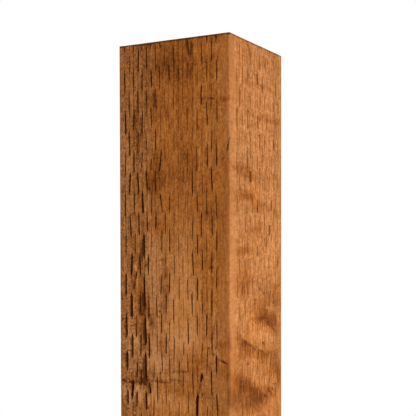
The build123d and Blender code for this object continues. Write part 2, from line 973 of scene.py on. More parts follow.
class TimberGrain:
    """The node groups that the finishes of the timber share."""

    RING_DRIFT = Pattern(along=0.12, scale=45.0)
    RING_TONE_SCALE = 0.8
    LATE_RISE = 3.0
    LATE_END = 0.9
    PATCH_CORE = 0.25

    def __init__(self) -> None:
        """Build each group once."""
        self.rings = self._rings()
        self.fibre = self._fibre()
        self.patch = self._patch()

    def _rings(self) -> NodeTree:
        """Growth rings round a pith: the dark late wood, and a tone of each ring's own."""
        inputs = {"Place": "vector", "Pith": "vector", "Spacing": "value", "Wander": "value"}
        group = NodeGroup("growth_rings", inputs, {"Late": "value", "Tone": "value"})
        graph, given = group.graph, group.given
        away = graph.vector("SUBTRACT", given["Place"], given["Pith"]).outputs[0]
        radius = graph.vector("LENGTH", graph.scaled(away, 0.0)).outputs["Value"]
        drift = graph.noise(given["Place"], self.RING_DRIFT).outputs[0]
        moved = graph.math("MULTIPLY_ADD", drift, given["Wander"], radius)
        count = graph.math("DIVIDE", moved, given["Spacing"])
        share = graph.math("FRACT", count)
        rise = graph.math("POWER", share, self.LATE_RISE)
        fall = graph.ranged(share, self.LATE_END, 1.0, 1.0, 0.0)
        group.give("Late", graph.math("MULTIPLY", rise, fall))
        feeds = {"W": count, "Scale": self.RING_TONE_SCALE}
        own = graph.add("ShaderNodeTexNoise", feeds, noise_dimensions="1D")
        group.give("Tone", own.outputs[0])
        return group.tree

    def _fibre(self) -> NodeTree:
        """Long fine streaks that run with the fibres."""
        inputs = {"Place": "vector", "Fineness": "value"}
        group = NodeGroup("fibre_streaks", inputs, {"Streak": "value"})
        graph, given = group.graph, group.given
        pattern = Pattern(along=0.035, scale=given["Fineness"], detail=3.0, roughness=0.6)
        group.give("Streak", graph.noise(given["Place"], pattern).outputs[0])
        return group.tree

    def _patch(self) -> NodeTree:
        """A soft-edged oval added to a sum: all of its change in its middle and none outside it."""
        inputs = {"Place": "vector", "Middle": "vector", "Turn": "vector", "Reach": "vector"}
        inputs |= {"Change": "value", "Before": "value"}
        group = NodeGroup("stain_patch", inputs, {"Sum": "value"})
        graph, given = group.graph, group.given
        away = graph.vector("SUBTRACT", given["Place"], given["Middle"]).outputs[0]
        feeds = {"Vector": away, "Rotation": given["Turn"]}
        turned = graph.add("ShaderNodeVectorRotate", feeds, rotation_type="EULER_XYZ", invert=True)
        local = graph.vector("DIVIDE", turned.outputs[0], given["Reach"]).outputs[0]
        away = graph.vector("LENGTH", local).outputs["Value"]
        share = graph.ranged(away, self.PATCH_CORE, 1.0, 1.0, 0.0)
        group.give("Sum", graph.math("MULTIPLY_ADD", share, given["Change"], given["Before"]))
        return group.tree


@dataclass(frozen=True)
class Split:
    """A drying split in the ends, along a ray from the pith.

    Attributes:
        angle: The way it runs, in degrees from +X towards +Y.
        start: Where it begins, from the pith.
        end: Where it ends, from the pith.
        width: How wide it is.
    """

    angle: float
    start: float
    end: float
    width: float


@dataclass(frozen=True)
class TreatedTimber:
    """The brown pressure-treated finish, on the long faces, in the slits and on the ends."""

    MOTTLE = Pattern(along=0.5, scale=420.0, detail=3.0, roughness=0.65)
    RIPPLE = Pattern(along=3.2, scale=190.0)
    TUFTS = Pattern(along=1.2, scale=640.0, detail=3.0, roughness=0.6)
    AGEING = Pattern(along=0.22, scale=16.0, detail=3.0, roughness=0.6)
    CLOUDS = Pattern(along=0.3, scale=28.0)
    SPECKS = Pattern(along=0.6, scale=1050.0, detail=1.0)
    DASHES = Pattern(along=0.11, scale=900.0)
    JAGS = Pattern(along=0.5, scale=1300.0)
    STRETCHES = Pattern(along=0.25, scale=150.0)
    PORES = Pattern(along=1.0, scale=1600.0)
    BLOTCHES = Pattern(along=1.0, scale=60.0)
    SAW_MARKS = Pattern(along=1.0, scale=700.0)

    section: Section
    stains_and_painted_shade: tuple[Patch, ...]
    weathered: tuple[Patch, ...]
    rough: tuple[Patch, ...]
    calm: tuple[Patch, ...]
    marks_and_painted_light: tuple[Patch, ...]
    pith: tuple[float, float, float] = (-7.0 * MM, 10.0 * MM, 0.0)
    ring_spacing: float = 3.4 * MM
    ring_wander: float = 9.0 * MM
    shine: float = 0.06
    stain_depth: float = 3.0 * MM
    stain_scale: float = 170.0
    stain_shake: float = 5.0 * MM
    mark_scale: float = 450.0
    mark_shake: float = 2.4 * MM
    split_scale: float = 260.0
    split_shake: float = 2.0 * MM
    stain_weather: float = 2.4
    saw_stretch: float = 0.05
    side_fineness: float = 800.0
    slit_fineness: float = 900.0
    side_tone: float = 0.56
    end_tone: float = 0.06
    slit_swing: float = 0.5
    side_roughness: Span = (0.72, 0.92)
    slit_roughness: Span = (0.8, 0.95)
    end_roughness: Span = (0.75, 0.95)
    bump_strength: float = 0.6
    side_bump: float = 0.6 * MM
    end_bump: float = 0.5 * MM
    # Where the torn fibres get painted shade in their pits and painted highlights on their flakes
    pit_span: Span = (0.53, 0.66)
    flake_span: Span = (0.45, 0.32)
    age_span: Span = (0.3, 0.68)
    least_age: float = 0.15
    stretch_span: Span = (0.4, 0.65)
    between: float = 0.4
    jaggedness: float = 0.9
    line_span: Span = (-0.04, 0.2)
    soak: float = 0.15
    soak_reach: float = 0.5
    marked_length: float = 255.0 * MM
    blend_length: float = 90.0 * MM
    shell: float = 9.0 * MM
    shell_span: Span = (0.4, 1.5)
    splits: tuple[Split, ...] = (
        Split(24.0, 0.0 * MM, 46.0 * MM, 2.2 * MM),
        Split(118.0, 4.0 * MM, 30.0 * MM, 1.6 * MM),
        Split(205.0, 2.0 * MM, 34.0 * MM, 1.8 * MM),
        Split(291.0, 3.0 * MM, 50.0 * MM, 2.0 * MM),
        Split(338.0, 14.0 * MM, 44.0 * MM, 1.3 * MM),
    )
    fresh_tones: Tones = (
        (0.0, (0.115, 0.029, 0.0028)),
        (0.25, (0.235, 0.065, 0.0092)),
        (0.5, (0.385, 0.117, 0.0185)),
        (0.75, (0.535, 0.188, 0.0365)),
        (1.0, (0.670, 0.264, 0.0640)),
    )
    weathered_tones: Tones = (
        (0.0, (0.100, 0.030, 0.0048)),
        (0.25, (0.220, 0.076, 0.0180)),
        (0.5, (0.370, 0.140, 0.0405)),
        (0.75, (0.525, 0.212, 0.0680)),
        (1.0, (0.670, 0.284, 0.1000)),
    )
    # From the rim to the keel of a slit: soaked-in treatment and painted shade
    slit_tones: Tones = (
        (0.0, (0.460, 0.150, 0.030)),
        (0.35, (0.190, 0.056, 0.008)),
        (1.0, (0.050, 0.013, 0.0015)),
    )
    end_tones: Tones = (
        (0.0, (0.360, 0.140, 0.045)),
        (0.6, (0.250, 0.085, 0.024)),
        (1.0, (0.120, 0.036, 0.010)),
    )

    def materials(self) -> dict[Surface, Material]:
        """Make the finish of each kind of surface."""
        return {Surface.SIDE: self._side(), Surface.SLIT: self._slit(), Surface.END: self._end()}

    @cached_property
    def grain(self) -> TimberGrain:
        """The node groups that the finishes share."""
        return TimberGrain()

    def _growth(self, graph: Graph, place: Feed) -> Node:
        """The growth rings of the post."""
        feeds = {"Pith": self.pith, "Spacing": self.ring_spacing, "Wander": self.ring_wander}
        return graph.group(self.grain.rings, Place=place, **feeds)

    def _roughen(self, graph: Graph, shader: Node, value: Feed, span: Span) -> None:
        """Let the roughness of a finish follow a noise, from one end of a span to the other."""
        graph.feed(shader.inputs["Roughness"], graph.ranged(value, *NOISE_SPAN, *span))

    def _emboss(self, graph: Graph, shader: Node, height: Feed, depth: float) -> None:
        """Let a finish catch the light as if it stood up by a height of a given depth."""
        feeds = {"Strength": self.bump_strength, "Distance": depth, "Height": height}
        graph.feed(shader.inputs["Normal"], graph.add("ShaderNodeBump", feeds).outputs[0])

    def _patched(self, graph: Graph, place: Feed, patches: tuple[Patch, ...]) -> Feed:
        """Add up listed patches.

        Args:
            graph: The material's graph.
            place: The coordinates.
            patches: The patches.

        Returns:
            The sum of what they change at each place.
        """
        total: Feed = 0.0
        for patch in patches:
            middle = self.section.spot(patch.side, patch.across, patch.below)
            tilt = Matrix.Rotation(-math.radians(patch.tilt), 3, "Y")
            turn = Matrix.Rotation(patch.side.turn, 3, "Z") @ tilt
            reach = (patch.wide / 2, self.stain_depth, patch.tall / 2)
            feeds = {"Place": place, "Middle": middle, "Turn": turn.to_euler(), "Reach": reach}
            total = graph.group(self.grain.patch, **feeds, Change=patch.change, Before=total).outputs[0]
        return total

    def _ragged(self, graph: Graph, place: Feed, scale: float, reach: float) -> NodeSocket:
        """Shake the coordinates, so that what is placed by them has uneven edges.

        Args:
            graph: The material's graph.
            place: The coordinates.
            scale: How fine the shaking is.
            reach: How far it goes.

        Returns:
            The shaken coordinates.
        """
        pattern = Pattern(along=0.5, scale=scale, detail=3.0, roughness=0.6)
        shake = graph.noise(place, pattern).outputs["Color"]
        shift = graph.vector("SUBTRACT", shake, (NOISE_MIDDLE,) * 3).outputs[0]
        return graph.vector("MULTIPLY_ADD", shift, (reach, reach, reach), place).outputs[0]

    def _side(self) -> Material:
        """The long faces: stained timber along the grain."""
        material, graph, shader, place = start_material("treated_wood_side_grain", self.shine)
        ragged = self._ragged(graph, place, self.stain_scale, self.stain_shake)
        # Stains of the timber, with painted shade beside the long crack on the front among them
        stain_and_shade = self._patched(graph, ragged, self.stains_and_painted_shade)
        rough = self._patched(graph, ragged, self.rough)
        weather = self._patched(graph, ragged, self.weathered)
        age = self._age(graph, place)
        weather = graph.math("ADD", weather, age)
        weather = graph.math("MULTIPLY_ADD", stain_and_shade, self.stain_weather, weather, clamp=True)
        calm = self._patched(graph, ragged, self.calm)
        shaken = self._ragged(graph, place, self.mark_scale, self.mark_shake)
        # Marks of the timber, with painted highlights and painted shade beside the slits among them
        marks_and_painted_light = self._patched(graph, shaken, self.marks_and_painted_light)
        streak = graph.group(self.grain.fibre, Place=place, Fineness=self.side_fineness).outputs[0]
        mottle = graph.noise(place, self.MOTTLE).outputs[0]
        ripple = graph.noise(place, self.RIPPLE).outputs[0]
        torn = graph.noise(place, self.TUFTS).outputs[0]
        # Pits painted darker and flakes lighter: partly the torn wood's own tone, partly painted shade and
        # painted highlights of their relief
        shaded_pits = graph.math("MULTIPLY", graph.ranged(torn, *self.pit_span, 0.0, 1.0), rough)
        lit_flakes = graph.math("MULTIPLY", graph.ranged(torn, *self.flake_span, 0.0, 1.0), rough)
        figure = self._figure(graph, place, streak, mottle, calm)
        curl = graph.math("MULTIPLY", graph.math("SUBTRACT", ripple, NOISE_MIDDLE), weather)
        crease = self._crease(graph, place)
        # Painted light on the right lips of the slits and painted shade on their left lips, where the fibres
        # are torn
        flank_shading = graph.math("MULTIPLY", graph.attribute(PAINTED_FLANK_SHADING), rough)
        tone = graph.total(figure, (stain_and_shade, 1.0), (marks_and_painted_light, 1.0), (age, -0.13), (curl, 0.55))
        tone = graph.total(tone, (shaded_pits, -0.5), (lit_flakes, 0.36), (crease, -0.32), (flank_shading, 0.32))
        fresh = graph.ramp(tone, self.fresh_tones)
        colour = graph.mix(weather, fresh, graph.ramp(tone, self.weathered_tones))
        graph.feed(shader.inputs["Base Color"], colour)
        self._roughen(graph, shader, streak, self.side_roughness)
        height = graph.total(streak, (mottle, 0.8), (ripple, 0.4), (shaded_pits, -0.5), (lit_flakes, 0.3))
        self._emboss(graph, shader, height, self.side_bump)
        return material

    def _age(self, graph: Graph, place: Feed) -> NodeSocket:
        """How weathered the post is, in broad drifts, below the stretch with listed patches."""
        height = graph.add("ShaderNodeSeparateXYZ", {0: place}).outputs["Z"]
        end = self.section.length - self.marked_length
        lower = graph.ranged(height, end - self.blend_length, end, 1.0, 0.0)
        drift = graph.noise(place, self.AGEING).outputs[0]
        return graph.math("MULTIPLY", graph.ranged(drift, *self.age_span, self.least_age, 1.0), lower)

    def _figure(self, graph: Graph, place: Feed, streak: Feed, mottle: Feed, calm: Feed) -> NodeSocket:
        """The tone of the sound timber.

        Args:
            graph: The material's graph.
            place: The coordinates.
            streak: The streaks along the fibres.
            mottle: The fine mottling.
            calm: How much of the fine figure is missing.

        Returns:
            A tone about the middle of the ramp.
        """
        rings = self._growth(graph, place).outputs
        broad = graph.noise(place, self.CLOUDS).outputs[0]
        fine = graph.noise(place, self.SPECKS).outputs[0]
        dash = graph.noise(place, self.DASHES).outputs[0]
        tone = graph.total(self.side_tone, (rings["Late"], -0.06))
        tone = graph.total(tone, (rings["Tone"], 0.15), (broad, 0.3), middle=NOISE_MIDDLE)
        shares = ((streak, 0.5), (mottle, 0.55), (fine, 0.7), (dash, 0.75))
        figure = graph.total(0.0, *shares, middle=NOISE_MIDDLE)
        return graph.math("MULTIPLY_ADD", figure, graph.math("SUBTRACT", 1.0, calm), tone)

    def _crease(self, graph: Graph, place: Feed) -> NodeSocket:
        """Dark, ragged lines down the columns of slits: strong beside the slits, faint between them."""
        furrow = graph.attribute(FURROW)
        bleed = graph.attribute(SLIT_BLEED)
        jag = graph.noise(place, self.JAGS).outputs[0]
        presence = graph.noise(place, self.STRETCHES).outputs[0]
        between = graph.ranged(presence, *self.stretch_span, 0.0, self.between)
        away = graph.math("SUBTRACT", 1.0, furrow)
        shaken = graph.total(away, (jag, self.jaggedness), middle=NOISE_MIDDLE)
        line = graph.ranged(shaken, *self.line_span, 1.0, 0.0)
        soft = graph.math("MULTIPLY", graph.ranged(away, 0.0, self.soak_reach, self.soak, 0.0), bleed)
        strength = graph.math("MAXIMUM", between, bleed)
        return graph.math("MULTIPLY_ADD", line, strength, soft)

    def _slit(self) -> Material:
        """The walls of the slits: dark where the treatment soaked in, with painted shade that deepens
        towards the keel.
        """
        material, graph, shader, place = start_material("treated_wood_slit", self.shine)
        streak = graph.group(self.grain.fibre, Place=place, Fineness=self.slit_fineness).outputs[0]
        # The walls' darkness: soaked-in treatment and painted shade, deepest at the keel
        depth = graph.attribute(SLIT_SOAK_AND_SHADE)
        swing = graph.math("SUBTRACT", streak, NOISE_MIDDLE)
        tone = graph.math("MULTIPLY_ADD", swing, self.slit_swing, depth, clamp=True)
        graph.feed(shader.inputs["Base Color"], graph.ramp(tone, self.slit_tones))
        self._roughen(graph, shader, streak, self.slit_roughness)
        return material

    def _end(self) -> Material:
        """The sawn ends: rings round the pith, split along rays and darkest in the treated shell."""
        material, graph, shader, place = start_material("treated_wood_end_grain", self.shine)
        rings = self._growth(graph, place).outputs
        pores = graph.noise(place, self.PORES).outputs[0]
        broad = graph.noise(place, self.BLOTCHES).outputs[0]
        drawn_out = graph.vector("MULTIPLY", place, (1.0, self.saw_stretch, 0.0)).outputs[0]
        sawn = graph.noise(drawn_out, self.SAW_MARKS).outputs[0]
        shell = self._shell(graph, place, broad)
        splits = self._splits(graph, place)
        tone = graph.total(self.end_tone, (rings["Late"], 0.7))
        shares = ((rings["Tone"], 0.3), (pores, 0.5), (broad, 0.5), (sawn, 0.35))
        tone = graph.total(tone, *shares, middle=NOISE_MIDDLE)
        tone = graph.total(tone, (shell, 0.26), (splits, 0.7))
        graph.feed(shader.inputs["Base Color"], graph.ramp(tone, self.end_tones))
        self._roughen(graph, shader, pores, self.end_roughness)
        height = graph.total(pores, (rings["Late"], 0.6), (sawn, 0.9), (splits, -1.5))
        self._emboss(graph, shader, height, self.end_bump)
        return material

    def _shell(self, graph: Graph, place: Feed, broad: Feed) -> NodeSocket:
        """How deep an end is in the treated shell: 1 at the faces and 0 in the heart."""
        axes = graph.add("ShaderNodeSeparateXYZ", {0: place}).outputs
        sideways = graph.math("SUBTRACT", self.section.width / 2, graph.math("ABSOLUTE", axes["X"]))
        depthways = graph.math("SUBTRACT", self.section.depth / 2, graph.math("ABSOLUTE", axes["Y"]))
        inward = graph.math("MINIMUM", sideways, depthways)
        uneven = graph.math("MULTIPLY_ADD", broad, -2 * self.shell, graph.math("ADD", inward, self.shell))
        full, none = (share * self.shell for share in self.shell_span)
        return graph.ranged(uneven, full, none, 1.0, 0.0)

    def _splits(self, graph: Graph, place: Feed) -> NodeSocket:
        """The drying splits of an end, which run out from the pith."""
        ragged = self._ragged(graph, place, self.split_scale, self.split_shake)
        level = graph.scaled(ragged, 0.0)
        total: Feed = 0.0
        for split in self.splits:
            turn = math.radians(split.angle)
            way = Vector((math.cos(turn), math.sin(turn), 0))
            feeds = {
                "Place": level,
                "Middle": Vector(self.pith) + way * (split.start + split.end) / 2,
                "Turn": (0.0, 0.0, turn),
                "Reach": ((split.end - split.start) / 2, split.width / 2, 1.0),
            }
            total = graph.group(self.grain.patch, **feeds, Change=1.0, Before=total).outputs[0]
        return total


@dataclass(frozen=True)
class Softbox:
    """One soft studio lamp.

    Attributes:
        name: The lamp's name.
        place: Where it stands.
        aim: What it points at.
        width: The width of its window.
        height: The height of its window.
        power: Its power, in watts.
    """

    name: str
    place: tuple[float, float, float]
    aim: tuple[float, float, float]
    width: float
    height: float
    power: float

    def build(self) -> None:
        """Hang the lamp and point it."""
        lamp = bpy.data.lights.new(self.name, "AREA")
        lamp.shape = "RECTANGLE"
        lamp.size = self.width
        lamp.size_y = self.height
        lamp.energy = self.power
        holder = placed(self.name, lamp)
        place = Vector(self.place)
        turn = (Vector(self.aim) - place).to_track_quat("-Z", "Y")
        holder.matrix_world = Matrix.LocRotScale(place, turn, None)


@dataclass
class Studio:
    """The pale floor, the soft lamps and the camera."""

    GRIT = Pattern(along=1.0, scale=9.0, detail=4.0)

    lamps: tuple[Softbox, ...]
    ambient: float = 0.34
    floor_radius: float = 5.0
    floor_sides: int = 96
    floor_fade: Span = (0.3, 0.9)
    floor_tints: tuple[Colour, Colour] = ((0.80, 0.80, 0.79), (0.86, 0.86, 0.85))
    floor_roughness: float = 0.9
    floor_shine: float = 0.1
    camera_place: tuple[float, float, float] = (0.2466, -0.4437, 2.3314)
    camera_azimuth: float = 28.68
    camera_pitch: float = -1.11
    camera_roll: float = -0.11
    lens: float = 58.79
    sensor: float = 36.0

    def build(self) -> Object:
        """Set the stage.

        Returns:
            The floor.
        """
        scene = bpy.context.scene
        scene.view_settings.view_transform = "Standard"
        self._world(scene)
        self._camera(scene)
        for lamp in self.lamps:
            lamp.build()
        return self._floor()

    def _seen(self, graph: Graph) -> NodeSocket:
        """Whether the camera looks straight at a surface, or in a reflection or through glass."""
        path = graph.add("ShaderNodeLightPath", {}).outputs
        glossy = graph.math("MAXIMUM", path["Is Camera Ray"], path["Is Glossy Ray"])
        return graph.math("MAXIMUM", glossy, path["Is Transmission Ray"])

    def _world(self, scene: Scene) -> None:
        """White behind the post, and a plain soft level all round it."""
        world = bpy.data.worlds.new("studio")
        world.use_nodes = True
        scene.world = world
        graph = Graph(world.node_tree)
        background = world.node_tree.nodes["Background"]
        background.inputs["Color"].default_value = (1.0, 1.0, 1.0, 1.0)
        strength = graph.ranged(self._seen(graph), 0.0, 1.0, self.ambient, 1.0)
        graph.feed(background.inputs["Strength"], strength)

    def _camera(self, scene: Scene) -> None:
        """The camera, beside the top of the post and nearly level."""
        lens = bpy.data.cameras.new("camera")
        lens.sensor_width = self.sensor
        lens.lens = self.lens
        camera = placed("camera", lens)
        turn = Matrix.Rotation(math.radians(self.camera_azimuth), 3, "Z")
        turn @= Matrix.Rotation(math.radians(90.0 + self.camera_pitch), 3, "X")
        turn @= Matrix.Rotation(math.radians(self.camera_roll), 3, "Z")
        camera.location = self.camera_place
        camera.rotation_euler = turn.to_euler()
        scene.camera = camera

    def _floor(self) -> Object:
        """A pale floor that fades into the white round it."""
        sheet = bmesh.new()
        bmesh.ops.create_circle(sheet, cap_ends=True, segments=self.floor_sides, radius=self.floor_radius)
        return made_of(sheet, "floor", [self._floor_finish()])

    def _floor_finish(self) -> Material:
        """Pale and matt under the post, and white to the eye towards its rim."""
        material, graph, shader, place = start_material("pale_floor", self.floor_shine)
        grit = graph.noise(place, self.GRIT).outputs[0]
        dark, pale = ((*tint, 1.0) for tint in self.floor_tints)
        graph.feed(shader.inputs["Base Color"], graph.mix(grit, dark, pale))
        shader.inputs["Roughness"].default_value = self.floor_roughness
        white = graph.add("ShaderNodeEmission", {"Strength": 1.0})
        away = graph.vector("LENGTH", place).outputs["Value"]
        start, end = (share * self.floor_radius for share in self.floor_fade)
        rim = graph.ranged(away, start, end, 0.0, 1.0)
        share = graph.math("MULTIPLY", rim, self._seen(graph))
        mixed = graph.add("ShaderNodeMixShader", {0: share, 1: shader.outputs[0], 2: white.outputs[0]})
        output = material.node_tree.nodes["Material Output"]
        graph.feed(output.inputs["Surface"], mixed.outputs[0])
        return material


def patches(side: Side, *rows: tuple[float, ...], unit: float = 1.0) -> tuple[Patch, ...]:
    """Patches on one face from rows in millimetres.

    Args:
        side: The face.
        *rows: For each patch its across, below, wide, tall, change and, if it leans, tilt.
        unit: The unit of the changes.

    Returns:
        The patches.
    """
    return tuple(Patch(side, *(size * MM for size in row[:4]), row[4] * unit, *row[5:]) for row in rows)


def knots(side: Side, *rows: tuple[float, float, float]) -> tuple[Patch, ...]:
    """The stains of knots: a dark eye, a pale cheek and the grain swept round them.

    Args:
        side: The face.
        *rows: For each knot its across, its below and the width of its eye, in millimetres.

    Returns:
        The patches of the stains.
    """
    eye = (0.0, 0.0, 1.2, 0.9, -0.34, 0.0)
    halo = (0.0, 0.0, 3.0, 2.2, -0.13, 0.0)
    cheek = (0.1, 1.5, 3.2, 1.1, 0.13, -6.0)
    upper_left = (-1.4, -0.6, 3.0, 0.5, -0.20, 20.0)
    lower_right = (1.5, 0.7, 3.2, 0.5, -0.18, 22.0)
    lower_left = (-1.2, 1.0, 2.6, 0.4, -0.16, -18.0)
    made = []
    for across, below, size in rows:
        for aside, down, wide, tall, change, tilt in (eye, halo, cheek, upper_left, lower_right, lower_left):
            spot = (across + aside * size, below + down * size)
            made.append((*spot, wide * size, tall * size, change, tilt))
    return patches(side, *made)


def gashes(side: Side, *rows: tuple[float, ...]) -> tuple[Gash, ...]:
    """Gashes on one face from rows in millimetres.

    Args:
        side: The face.
        *rows: For each gash its tooth, then its below, width and, if they are its own, lean and length.

    Returns:
        The gashes.
    """
    return tuple(Gash(side, int(row[0]), *(size * MM for size in row[1:])) for row in rows)


# The incising of each face; the right face's slits get less painted shade, as the key light falls squarely
# on that face
TEETH = {
    Side.FRONT: Teeth(
        5.1 * MM, 3.707 * MM, 21, width=0.5 * MM, length=19.5 * MM, depth=1.0 * MM, darkness=0.95
    ),
    Side.RIGHT: Teeth(
        11.2 * MM, 4.13 * MM, 18, width=0.9 * MM, length=13.0 * MM, depth=0.2 * MM, darkness=0.38
    ),
    Side.BACK: Teeth(
        9.0 * MM, 3.707 * MM, 20, width=0.5 * MM, length=19.0 * MM, depth=1.0 * MM, darkness=0.9
    ),
    Side.LEFT: Teeth(
        5.2 * MM, 4.13 * MM, 18, width=0.45 * MM, length=18.0 * MM, depth=0.8 * MM, darkness=0.8
    ),
}

# How much wider the slits stand open
GAPES = (
    *patches(
        Side.FRONT,
        (10, 60, 60, 400, 0.35), (12, 200, 40, 260, 0.5), (46, 50, 44, 200, -0.3),
        (77, 60, 16, 400, 0.15), (14, 900, 70, 1500, 0.5), (60, 1500, 90, 2200, 0.3),
        (30, 2100, 80, 1000, 0.4),
        unit=MM,
    ),
    *patches(
        Side.BACK,
        (24, 600, 80, 1500, 0.55), (64, 1500, 80, 1900, 0.45), (30, 2000, 80, 1200, 0.4),
        unit=MM,
    ),
    *patches(
        Side.LEFT,
        (64, 500, 80, 1500, 0.5), (26, 1400, 80, 2000, 0.4), (60, 2000, 80, 1100, 0.4),
        unit=MM,
    ),
)

# How far the columns of slits wander to the right
DRIFTS = patches(
    Side.FRONT,
    (19, 275, 32, 350, 1.9), (9.5, 240, 10, 320, 0.8), (36, 220, 10, 300, 1.2), (68, 230, 7, 24, -1),
    unit=MM,
)

# The slits that stand out
GASHES = (
    *gashes(
        Side.FRONT,
        (0, -3, 0.8), (0, 26, 1, 0.2, 19), (0, 55.5, 1, 0.3, 19), (0, 84.5, 0.75, 0, 20),
        (0, 113.5, 1.1, 0.3, 21), (0, 142.5, 0.5, 0, 19), (0, 170.5, 0.9, -0.3, 19),
        (0, 200, 0.75, 0, 20), (0, 226, 1.1, 0.1, 16), (0, 252, 0.8, 0.1, 12),
        (1, 14, 0.65, 0.2, 16), (1, 41, 0.75, 0.8, 22), (1, 70, 0.8, 0, 20), (1, 98.5, 1.1, 0, 18),
        (1, 128.5, 1.1, 0.2, 19), (1, 156, 1.2, 0, 18), (1, 185.5, 1.6, 0.2, 21), (1, 215, 1.4, 0, 19),
        (1, 246, 1.7, 0, 15),
        (2, -3, 0.8), (2, 26, 0.65, 0, 20), (2, 54, 0.8, 0, 16), (2, 83.5, 0.9, 0.8, 18),
        (2, 113, 0.7, -0.4, 18), (2, 141, 0.6, 0, 18), (2, 164, 0.9, -0.8, 7), (2, 231.5, 1.3, -0.2, 13),
        (2, 252.5, 1.3, 0.3, 12),
        (3, 12, 0.65, 0.3, 20), (3, 41, 0.7, 0.8, 20), (3, 70, 0.8, 0, 20), (3, 98.5, 1.1, 0.4, 18),
        (3, 127.5, 1.1, 0, 18), (3, 156, 0.9, 0, 18), (3, 183.5, 0.8, 0.5, 15), (3, 236, 0.8, 0, 12),
        (4, -3, 0.7), (4, 26, 0.6, 0.2, 18), (4, 55, 0.8, 0.5, 19), (4, 82, 0.6, -0.5, 13),
        (4, 112, 1.2, 0.3, 18), (4, 142.5, 1.5, 0.2, 20), (4, 175, 1.5, 0.3, 28), (4, 202.5, 1.6, 0, 24),
        (4, 228, 1.7, 0.1, 22), (4, 252.5, 1.6, 0.2, 15),
        (5, 10, 0.65, 0.5, 20), (5, 41, 0.7, 0.8, 19), (5, 72, 0.6, 0, 12), (5, 96, 0.9, 1.2, 16),
        (5, 127, 0.9, 0, 12), (5, 156, 1.2, 0, 16), (5, 243, 1.3, 0.2, 9),
        (6, 25, 0.95, 1, 14), (6, 52, 0.6, 0.3, 16), (6, 85, 0.55, -0.3, 10), (6, 112.5, 0.6, 0, 19),
        (7, 68, 0.65, 0.4, 17), (7, 97, 0.55, 0, 18), (7, 124, 0.75, -0.4, 15), (7, 211, 0.4, 0, 18),
        (8, 26, 0.6, 0.4, 18), (8, 82.5, 0.95, -0.9, 17), (8, 112.5, 0.7, 1.6, 16),
        (8, 139, 0.65, 0.3, 19), (8, 170, 0.4, 0, 16), (8, 196, 0.7, 0, 16), (8, 223, 0.55, -0.3, 18),
        (9, 126, 0.8, -0.6, 17), (9, 182, 0.9, -0.6, 16), (9, 210, 1.05, -0.6, 16),
        (10, 22.5, 0.65, 0.4, 13), (10, 112.5, 0.5, 0, 16), (10, 138, 0.7, -0.4, 19),
        (10, 167, 0.9, -0.8, 17),
        (11, 13, 0.4, 0, 18), (11, 40, 0.35, 0, 18),
        (12, 26, 0.45, 0, 18),
        (13, 212, 0.5, 0, 10), (13, 235.5, 0.5, 0, 19),
        (14, 221, 0.45, 0, 16), (14, 248, 0.45, 0, 16),
        (15, 235.5, 0.55, 0.4, 19), (15, 153, 0.65, 0, 19), (15, 181, 0.7, 0.3, 18),
        (16, 111.5, 0.5, 0, 16), (16, 140, 0.65, 0, 16), (16, 194, 0.6, 0, 18),
        (16, 249.5, 1.8, -0.8, 19),
        (17, 12, 0.45, 0.5, 18), (17, 39, 0.7, -0.3, 16), (17, 150, 0.7, 0, 17),
        (17, 178, 0.55, -0.3, 20), (17, 230, 2.2, -1.4, 8),
        (18, 24, 0.5, 0, 16), (18, 52, 0.7, 0.8, 18), (18, 80, 0.7, 0.4, 18), (18, 194, 0.7, -0.5, 19),
        (18, 219, 0.5, -0.4, 20), (18, 243, 0.5, 0, 14),
        (19, 10, 0.55, 0, 18), (19, 40, 0.4, 0, 17), (19, 96, 0.8, 0.9, 18), (19, 127, 0.55, 0, 16),
        (19, 152, 0.7, 0, 16), (19, 178, 0.6, 0, 20), (19, 204, 0.65, 0.4, 16), (19, 232.5, 0.7, 0, 19),
        (20, 23.5, 0.7, 0, 16), (20, 51, 0.6, 0, 18), (20, 79, 0.7, 0.5, 18), (20, 162, 0.5, 0, 16),
        (20, 137, 0.55, 0, 16), (20, 220, 1.1, 0, 14), (20, 247, 0.7, 0, 19),
    ),
    *gashes(
        Side.RIGHT,
        (5, 94, 1.9, 0, 9), (15, 41, 1.5, 0, 8), (8, 24, 1.5, 0, 9), (13, 133, 1.4, 0, 9),
        (8, 115, 1.4, 0, 10), (14, 115, 1.2, 0, 9), (8, 54, 1.2, 0, 10), (15, 69, 1.3, 0, 10),
        (17, 159, 1.2, 0, 8), (8, 147, 1.2, 0, 9), (4, 82, 1.2, 0, 14), (10, 27, 1.1, 0, 13),
        (16, 27, 1.1, 0, 13), (5, 10, 1, 0, 14),
    ),
)

# The long cracks
CHECKS = (
    Check(Side.FRONT, 4, 272.0 * MM, 660.0 * MM, width=1.8 * MM),
    Check(Side.FRONT, 1, 272.0 * MM, 420.0 * MM, width=1.5 * MM),
    Check(Side.RIGHT, 8, 700.0 * MM, 1500.0 * MM, width=1.6 * MM),
    Check(Side.BACK, 10, 60.0 * MM, 900.0 * MM, width=2.0 * MM),
    Check(Side.BACK, 5, 1300.0 * MM, 2200.0 * MM, width=1.6 * MM),
    Check(Side.LEFT, 8, 300.0 * MM, 1300.0 * MM, width=1.7 * MM),
)

# How deep the surface is torn
TORN = patches(Side.FRONT, (12, 215, 36, 280, 0.9), (12, 40, 44, 220, 0.4), unit=MM)
